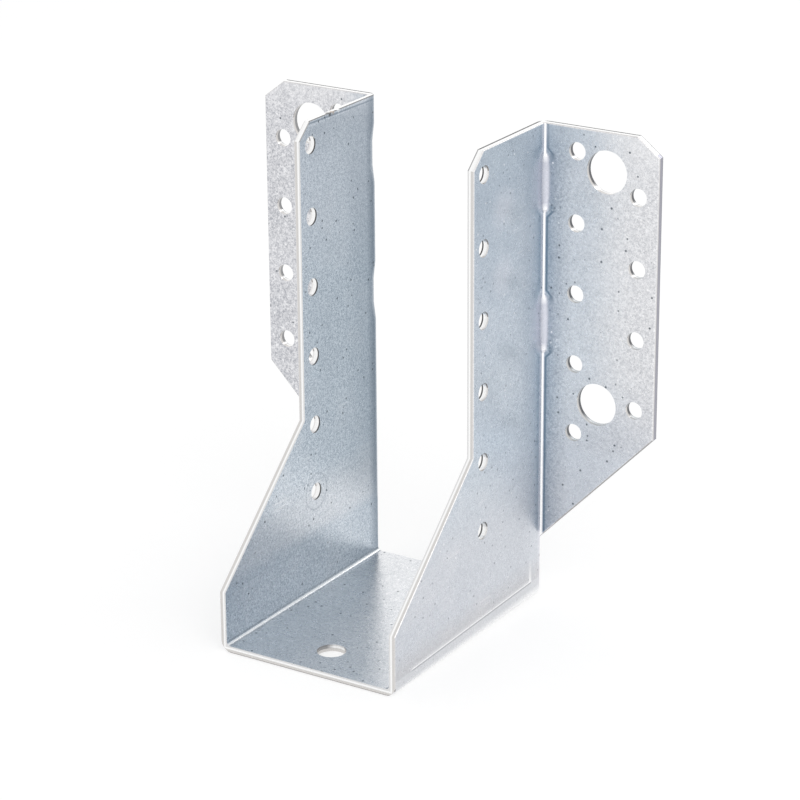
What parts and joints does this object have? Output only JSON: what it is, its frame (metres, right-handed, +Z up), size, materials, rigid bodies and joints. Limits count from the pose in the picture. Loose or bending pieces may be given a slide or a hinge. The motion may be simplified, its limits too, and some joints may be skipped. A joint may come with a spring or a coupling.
{
  "type": "joist hanger",
  "caption": "Face-fix joist hanger folded from one zinc-coated sheet: a seat, two cheeks and two outward flanges with nail and bolt holes.",
  "frame": {"origin": "middle of the part's footprint, level with the underside of the seat", "axes": "+X to the right across the joist, +Y back towards the header beam, +Z up"},
  "size_m": [0.125, 0.078, 0.138],
  "materials": {
    "zinc_steel": "satin zinc coating"
  },
  "bodies": {
    "root": {"joist_hanger": "zinc_steel"}
  },
  "joints": []
}
